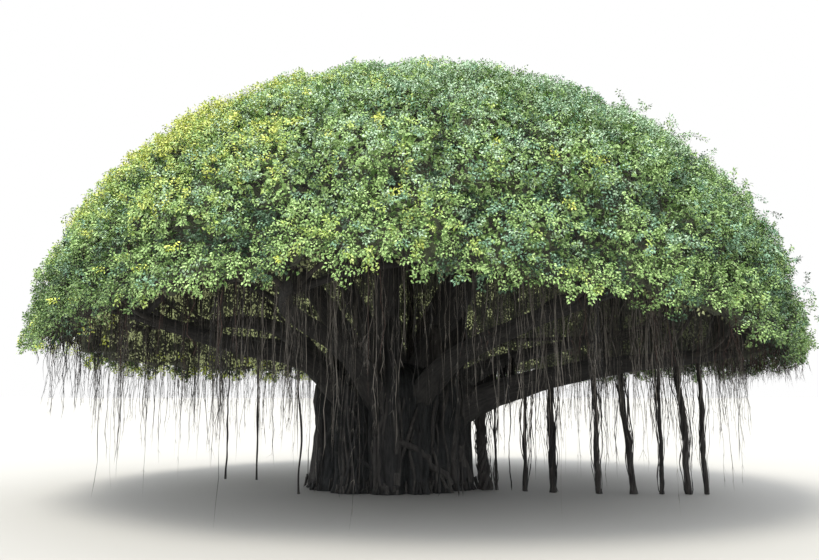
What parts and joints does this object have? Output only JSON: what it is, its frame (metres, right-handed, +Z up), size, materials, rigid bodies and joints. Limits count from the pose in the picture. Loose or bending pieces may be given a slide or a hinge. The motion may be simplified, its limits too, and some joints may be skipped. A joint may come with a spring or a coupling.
{
  "type": "banyan tree",
  "caption": "Clipped banyan tree: massive fluted trunk of fused roots, spreading boughs under a wide dome of foliage, hanging aerial roots and prop roots that reach the ground.",
  "frame": {"origin": "middle of the flat cut under the trunk, at ground level", "axes": "+Z up the trunk; the front seen in the picture faces -Y; +X to the right of the picture"},
  "size_m": [12.7951, 12.5606, 7.1491],
  "materials": {
    "bark": "rough grey-brown bark in fused vertical ribs",
    "root_bark": "rough pale grey-brown root bark",
    "foliage": "small glossy mid-green leaves in dense sprays"
  },
  "bodies": {
    "root": {"aerial_roots_01": "root_bark", "aerial_roots_02": "root_bark", "aerial_roots_03": "root_bark", "aerial_roots_04": "root_bark", "aerial_roots_05": "root_bark", "aerial_roots_06": "root_bark", "aerial_roots_07": "root_bark", "aerial_roots_08": "root_bark", "aerial_roots_09": "root_bark", "aerial_roots_10": "root_bark", "aerial_roots_11": "root_bark", "aerial_roots_12": "root_bark", "bough_back_left": "bark", "bough_back_right": "bark", "bough_front_left": "bark", "bough_front_right": "bark", "bough_left_back": "bark", "bough_left_front": "bark", "bough_right_back": "bark", "bough_right_front": "bark", "bough_top": "bark", "bough_upper_back_left": "bark", "bough_upper_back_right": "bark", "bough_upper_front": "bark", "bough_upper_left": "bark", "bough_upper_right": "bark", "foliage_back_left": "foliage", "foliage_back_right": "foliage", "foliage_front_left": "foliage", "foliage_front_right": "foliage", "foliage_left_back": "foliage", "foliage_left_front": "foliage", "foliage_right_back": "foliage", "foliage_right_front": "foliage", "foliage_top": "foliage", "foliage_upper_back_left": "foliage", "foliage_upper_back_right": "foliage", "foliage_upper_front": "foliage", "foliage_upper_left": "foliage", "foliage_upper_right": "foliage", "prop_root_01": "root_bark", "prop_root_02": "root_bark", "prop_root_03": "root_bark", "prop_root_04": "root_bark", "prop_root_05": "root_bark", "prop_root_06": "root_bark", "prop_root_07": "root_bark", "prop_root_08": "root_bark", "prop_root_09": "root_bark", "prop_root_10": "root_bark", "prop_root_11": "root_bark", "prop_root_12": "root_bark", "trunk": "bark"}
  },
  "joints": []
}
